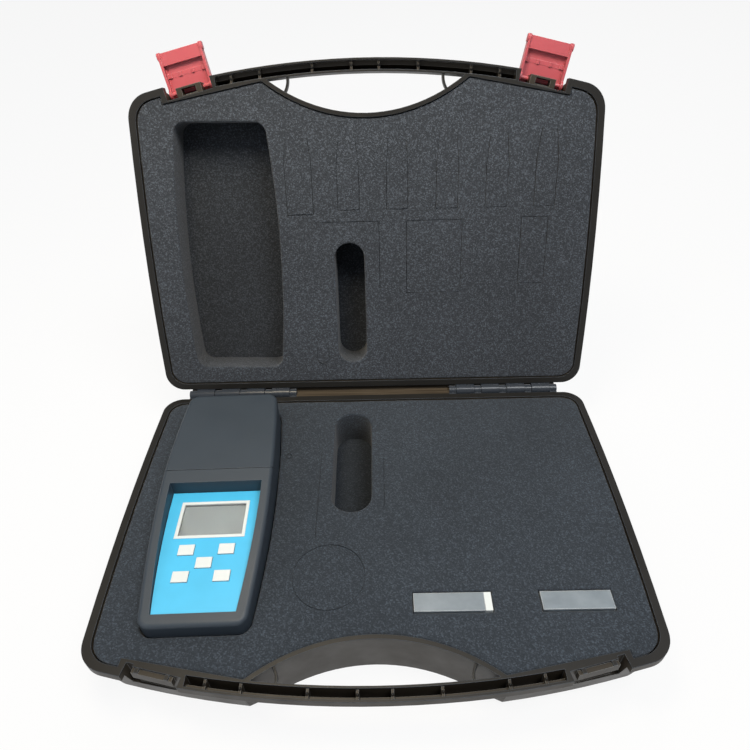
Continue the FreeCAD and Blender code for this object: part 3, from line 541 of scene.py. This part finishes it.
def foam_piece(node, name, body, plan, finish, lines=(), spacing=4.0):
    """A foam layer from its solid: rounded upper edges, scored lines, a softly uneven face."""
    bm = bmesh.new()
    bm.from_mesh(nodes[node].data)
    bmesh.ops.transform(bm, matrix=plan, verts=bm.verts)
    bmesh.ops.remove_doubles(bm, verts=bm.verts, dist=2e-6)
    if plan.determinant() < 0:
        bmesh.ops.reverse_faces(bm, faces=bm.faces)
    bmesh.ops.dissolve_limit(bm, angle_limit=math.radians(1.0), verts=bm.verts, edges=bm.edges)
    top = max(v.co.z for v in bm.verts)
    rim = [
        e for e in bm.edges
        if len(e.link_faces) == 2 and e.calc_face_angle(0.0) > math.radians(40)
        and all(v.co.z > top - 1e-5 for v in e.verts)
    ]
    bmesh.ops.bevel(
        bm, geom=rim, offset=FOAM_EDGE, segments=4, profile=0.5, affect="EDGES",
        clamp_overlap=False,
    )
    mesh = mesh_from(bm, name)
    if lines:
        blades = bmesh.new()
        for points, width, depth in lines:
            score_line(blades, points, width * MM, depth * MM, top)
        bmesh.ops.recalc_face_normals(blades, faces=blades.faces)
        mesh = cut(mesh, mesh_from(blades, "blades"))
    bm = bmesh.new()
    bm.from_mesh(mesh)
    for axis in (0, 1):
        low = min(v.co[axis] for v in bm.verts)
        high = max(v.co[axis] for v in bm.verts)
        steps = int((high - low) / (spacing * MM))
        normal = Vector((axis == 0, axis == 1, 0))
        for k in range(1, steps):
            place = low + (high - low) * k / steps
            geometry = bm.verts[:] + bm.edges[:] + bm.faces[:]
            bmesh.ops.bisect_plane(
                bm, geom=geometry, plane_co=normal * place, plane_no=normal, dist=1e-7,
            )
    bm.normal_update()
    for vert in bm.verts:
        slow = noise.noise(vert.co * 23)
        quick = noise.noise(vert.co * 140 + Vector((5, 7, 3)))
        vert.co += vert.normal * (0.26 * slow + 0.12 * quick - 0.1) * MM
    bmesh.ops.triangulate(bm, faces=[f for f in bm.faces if len(f.verts) > 4])
    if plan.determinant() < 0:
        bmesh.ops.reverse_faces(bm, faces=bm.faces)
    bmesh.ops.transform(bm, matrix=plan.inverted(), verts=bm.verts)
    smooth_by_angle(bm, 50)
    piece = new_object(name, mesh_from(bm, name), finish)
    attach(piece, body)
    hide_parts(node)


# Scored lines in the foam, (x, d) in mm

def arc(cx, cd, radius, start, end, count=24):
    """Points on a circle, from one angle in degrees to another."""
    angles = [math.radians(start + (end - start) * k / count) for k in range(count + 1)]
    return [(cx + radius * math.cos(a), cd + radius * math.sin(a)) for a in angles]


def bottle(x0, x1, low, shoulder, neck, top):
    """The outline of a bottle with a tapered neck, open at its upper end."""
    taper = neck * (x1 - x0)
    return [
        (x0 + taper, top), (x0, shoulder), (x0, low),
        (x1, low), (x1, shoulder), (x1 - taper, top),
    ]


FINE = (0.35, 0.9)    # width and depth of a line
lid_lines = [
    (bottle(-64.0, -43.5, 152.0, 190.0, 0.08, 208.0), *FINE),
    (bottle(-24.0, -7.0, 155.0, 186.0, 0.10, 205.0), *FINE),
    (bottle(14.5, 31.0, 155.0, 188.0, 0.10, 207.0), *FINE),
    (bottle(53.0, 70.0, 155.0, 188.0, 0.12, 208.0), *FINE),
    (bottle(91.5, 108.5, 155.0, 188.0, 0.12, 208.0), *FINE),
    (bottle(129.5, 146.0, 155.0, 190.0, 0.16, 212.0), *FINE),
    ([(-43.0, 146.0), (8.0, 146.0), (8.0, 92.0)], *FINE),
    ([(30.0, 146.0), (74.0, 146.0), (74.0, 88.0), (30.0, 88.0), (30.0, 145.2)], *FINE),
    ([(121.0, 147.0), (142.0, 147.0), (142.0, 94.0), (121.0, 94.0), (121.0, 146.2)], *FINE),
    ([(-47.0, 44.0)] + arc(-42.0, 31.5, 5.0, 180, 360) + [(-37.0, 44.0)], *FINE),
]
base_lines = [
    (arc(-30.0, 181.0, 24.0, 0, 356, 60), *FINE),
    ([(-41.0, 66.0), (-41.0, 152.0)], *FINE),
    ([(8.0, 78.0), (8.0, 126.0)], *FINE),
    (arc(-66.8, 74.1, 2.3, 0, 350, 20), *FINE),
]

foam_piece("base_foam_tray", "base_foam", "case_base", BASE_PLAN, base_foam_mat, base_lines)
foam_piece("base_foam_pad", "base_foam_under", "case_base", BASE_PLAN, base_foam_mat, spacing=12.0)
foam_piece("lid_foam_tray", "lid_foam", "lid", LID_PLAN, lid_foam_mat, lid_lines)
foam_piece("lid_foam_pad", "lid_foam_under", "lid", LID_PLAN, lid_foam_mat, spacing=12.0)


# Ribs at the ends of the hand holes

HOLE_TIP = (71.85, 247.8)              # centre of the rib's curve, (x, d) in mm
RIB_INSIDE, RIB_OUTSIDE = 14.2, 15.8   # its radii
RIB_TOP, RIB_FOOT = -0.5, -7.0         # its ends, measured from the rim


def hand_hole_rib(name, side, plan, body):
    """A thin curved rib that closes off the narrow end of a hand hole."""
    section = (
        (RIB_INSIDE, RIB_TOP), (RIB_OUTSIDE, RIB_TOP),
        (RIB_OUTSIDE, RIB_FOOT), (RIB_INSIDE, RIB_FOOT),
    )
    bm = bmesh.new()
    rings = []
    for degrees in range(174, 219, 4):
        angle = math.radians(degrees)
        ring = []
        for radius, z in section:
            x = HOLE_TIP[0] + radius * math.cos(angle)
            d = HOLE_TIP[1] + radius * math.sin(angle)
            ring.append(bm.verts.new((side * x * MM, -d * MM, z * MM)))
        rings.append(ring)
    skin(bm, rings)
    bmesh.ops.transform(bm, matrix=plan.inverted(), verts=bm.verts)
    bmesh.ops.recalc_face_normals(bm, faces=bm.faces)
    upper = [e for e in bm.edges if e.calc_face_angle(0.0) > math.radians(60)]
    bmesh.ops.bevel(bm, geom=upper, offset=0.25 * MM, segments=2, profile=0.5, affect="EDGES")
    smooth_by_angle(bm, 40)
    piece = new_object(name, mesh_from(bm, name), case_mat)
    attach(piece, body)


FRONT_RADIUS = 680.0                    # of the handle's curve, in mm
FRONT_DEPTH = 260.7                     # distance of its front from the hinge axis
CHANNEL_INSET = 4.5                     # from there in to the middle of the channel
STUD_PLACES = (10.0, 38.5, 77.0, 98.0)  # distances from x = 0


def handle_studs(name, plan, body):
    """The small pointed studs that stand on the cross ribs of the handle channel."""
    bm = bmesh.new()
    middle = FRONT_RADIUS - CHANNEL_INSET
    for place in STUD_PLACES:
        for x in (-place, place):
            d = FRONT_DEPTH - FRONT_RADIUS + math.sqrt(middle ** 2 - x ** 2)
            foot = Matrix.Translation((x * MM, -d * MM, -0.95 * MM))
            made = bmesh.ops.create_cone(
                bm, cap_ends=True, segments=16, radius1=1.15 * MM, radius2=0.35 * MM,
                depth=1.1 * MM, matrix=foot,
            )
            rim = {e for v in made["verts"] for e in v.link_edges}
            bmesh.ops.bevel(
                bm, geom=list(rim), offset=0.12 * MM, segments=2, profile=0.5, affect="EDGES",
            )
    bmesh.ops.transform(bm, matrix=plan.inverted(), verts=bm.verts)
    bmesh.ops.recalc_face_normals(bm, faces=bm.faces)
    smooth_by_angle(bm, 40)
    piece = new_object(name, mesh_from(bm, name), case_mat)
    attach(piece, body)


handle_studs("base_handle_studs", BASE_PLAN, "case_base")
handle_studs("lid_handle_studs", LID_PLAN, "lid")

for side, word in ((-1, "left"), (1, "right")):
    hand_hole_rib("base_hole_rib_" + word, side, BASE_PLAN, "case_base")
    hand_hole_rib("lid_hole_rib_" + word, side, LID_PLAN, "lid")


# Ears at the free corners of the latches

LATCH_PIVOT = Vector((0, 4.8 * MM, 11.0 * MM))
LATCH_SPOT = Vector((131.0 * MM, -247.961 * MM, 0))
LATCH_TURN = math.radians(13.0)
EAR_PROFILE = (
    (0.4, -17.8), (4.6, -17.8), (6.2, -16.4), (6.2, -13.6),
    (5.2, -12.4), (2.6, -12.0), (0.4, -12.6),
)
EAR_REACH = (14.7, 17.5)    # its two sides, from the middle of the latch, in mm


def latch_plan(side):
    """From the frame of a shut latch to its open place on the open lid."""
    open_lid = (
        Matrix.Translation(HINGE) @ Matrix.Rotation(-OPEN_ANGLE, 4, "X")
        @ Matrix.Translation((0, 0, RIM_GAP))
    )
    in_bay = Matrix.Translation(LATCH_SPOT) @ Matrix.Rotation(LATCH_TURN, 4, "Z")
    swing = (
        Matrix.Translation(LATCH_PIVOT) @ Matrix.Rotation(math.radians(-90.0), 4, "X")
        @ Matrix.Translation(-LATCH_PIVOT)
    )
    return open_lid @ Matrix.Diagonal((side, 1, 1, 1)) @ in_bay @ swing


def latch_ear(name, side, end, body):
    """A small rounded ear at one corner of a latch, which a finger pushes on."""
    bm = bmesh.new()
    skin(bm, [
        [bm.verts.new((end * reach * MM, y * MM, z * MM)) for y, z in EAR_PROFILE]
        for reach in EAR_REACH
    ])
    bmesh.ops.transform(bm, matrix=latch_plan(side), verts=bm.verts)
    bmesh.ops.recalc_face_normals(bm, faces=bm.faces)
    bmesh.ops.bevel(
        bm, geom=bm.edges[:], offset=0.45 * MM, segments=3, profile=0.5, affect="EDGES",
    )
    smooth_by_angle(bm, 50)
    piece = new_object(name, mesh_from(bm, name), latch_mat)
    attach(piece, body)


for side, word in ((-1, "left"), (1, "right")):
    for end, place in ((-1, "inner"), (1, "outer")):
        latch_ear(f"{word}_latch_ear_{place}", side, end, "latch_" + word)


# Floor, world, lamps and camera

GLOW_SHARE = 0.9    # the rest shows the lit floor, with the shadow
FLOOR_DROP = 0.3 * MM


def pale_surface():
    """White to the camera, pale to everything else, and it keeps the shadow of the object."""
    mat, tree, bsdf = material("floor", (0.66, 0.66, 0.66), 0.9, 0.1)
    glow = add(tree, "ShaderNodeEmission", {"Color": (1, 1, 1, 1), "Strength": 1.0})
    rays = add(tree, "ShaderNodeLightPath")
    seen = rays.outputs["Is Camera Ray"]
    for name in ("Is Glossy Ray", "Is Transmission Ray"):
        seen = compute(tree, "MAXIMUM", seen, rays.outputs[name])
    share = compute(tree, "MULTIPLY", seen, GLOW_SHARE)
    mixed = add(tree, "ShaderNodeMixShader", {0: share, 1: bsdf.outputs[0], 2: glow.outputs[0]})
    tree.links.new(mixed.outputs[0], tree.nodes["Material Output"].inputs["Surface"])
    return mat


floor_bm = bmesh.new()
bmesh.ops.create_grid(floor_bm, x_segments=1, y_segments=1, size=9.0)
floor = new_object("floor", mesh_from(floor_bm, "floor"), pale_surface())
floor.location = (0, 2.0, -FLOOR_DROP)

world = bpy.data.worlds.new("studio")
bpy.context.scene.world = world
world.use_nodes = True
sky = world.node_tree
dim = sky.nodes["Background"]
dim.inputs["Color"].default_value = (0.93, 0.96, 1.0, 1)
dim.inputs["Strength"].default_value = 0.30
white = add(sky, "ShaderNodeBackground", {"Color": (1, 1, 1, 1), "Strength": 1.0})
sky_rays = add(sky, "ShaderNodeLightPath")
sky_mix = add(sky, "ShaderNodeMixShader", {
    0: sky_rays.outputs["Is Camera Ray"], 1: dim.outputs[0], 2: white.outputs[0],
})
sky.links.new(sky_mix.outputs[0], sky.nodes["World Output"].inputs["Surface"])


def area_lamp(name, place, target, size, power, color=(1, 1, 1)):
    """A round lamp turned towards its target."""
    lamp = bpy.data.lights.new(name, "AREA")
    lamp.shape = "DISK"
    lamp.size = size
    lamp.energy = power
    lamp.color = color
    thing = bpy.data.objects.new(name, lamp)
    bpy.context.scene.collection.objects.link(thing)
    thing.location = place
    thing.rotation_mode = "QUATERNION"
    thing.rotation_quaternion = (Vector(target) - Vector(place)).to_track_quat("-Z", "Y")


area_lamp("key", (0.55, -0.35, 1.45), (0, 0.1, 0.05), 0.7, 15.5, (0.97, 0.985, 1.0))
area_lamp("fill", (-1.2, -0.8, 0.9), (0, 0.1, 0.1), 1.2, 5, (0.95, 0.97, 1.0))
area_lamp("top", (-0.12, 0.02, 0.70), (-0.08, 0.22, 0.22), 0.25, 3.2, (1.0, 0.86, 0.64))
area_lamp("rear", (0.1, 1.5, 1.5), (0, 0.1, 0.1), 1.2, 7)

# The camera is the pinhole fitted to the outline of the case
cam_data = bpy.data.cameras.new("camera")
cam = bpy.data.objects.new("camera", cam_data)
bpy.context.scene.collection.objects.link(cam)
bpy.context.scene.camera = cam
cam_data.sensor_width = 36.0
cam_data.lens = 28.8
cam_data.shift_x = -0.00015
cam_data.shift_y = 0.01569
cam_data.clip_start = 0.01
cam.location = (0.005907, -0.266738, 0.393910)
pitch, yaw, roll = (math.radians(a) for a in (41.118, -0.549, -1.486))
forward = Vector((
    math.sin(yaw) * math.cos(pitch), math.cos(yaw) * math.cos(pitch), -math.sin(pitch),
))
right = Vector((math.cos(yaw), -math.sin(yaw), 0))
down = forward.cross(right)
cos_r, sin_r = math.cos(roll), math.sin(roll)
turned_right = right * cos_r - down * sin_r
turned_down = right * sin_r + down * cos_r
cam.rotation_mode = "QUATERNION"
axes = Matrix((turned_right, -turned_down, -forward)).transposed()
cam.rotation_quaternion = axes.to_quaternion()

bpy.context.scene.view_settings.view_transform = "Standard"
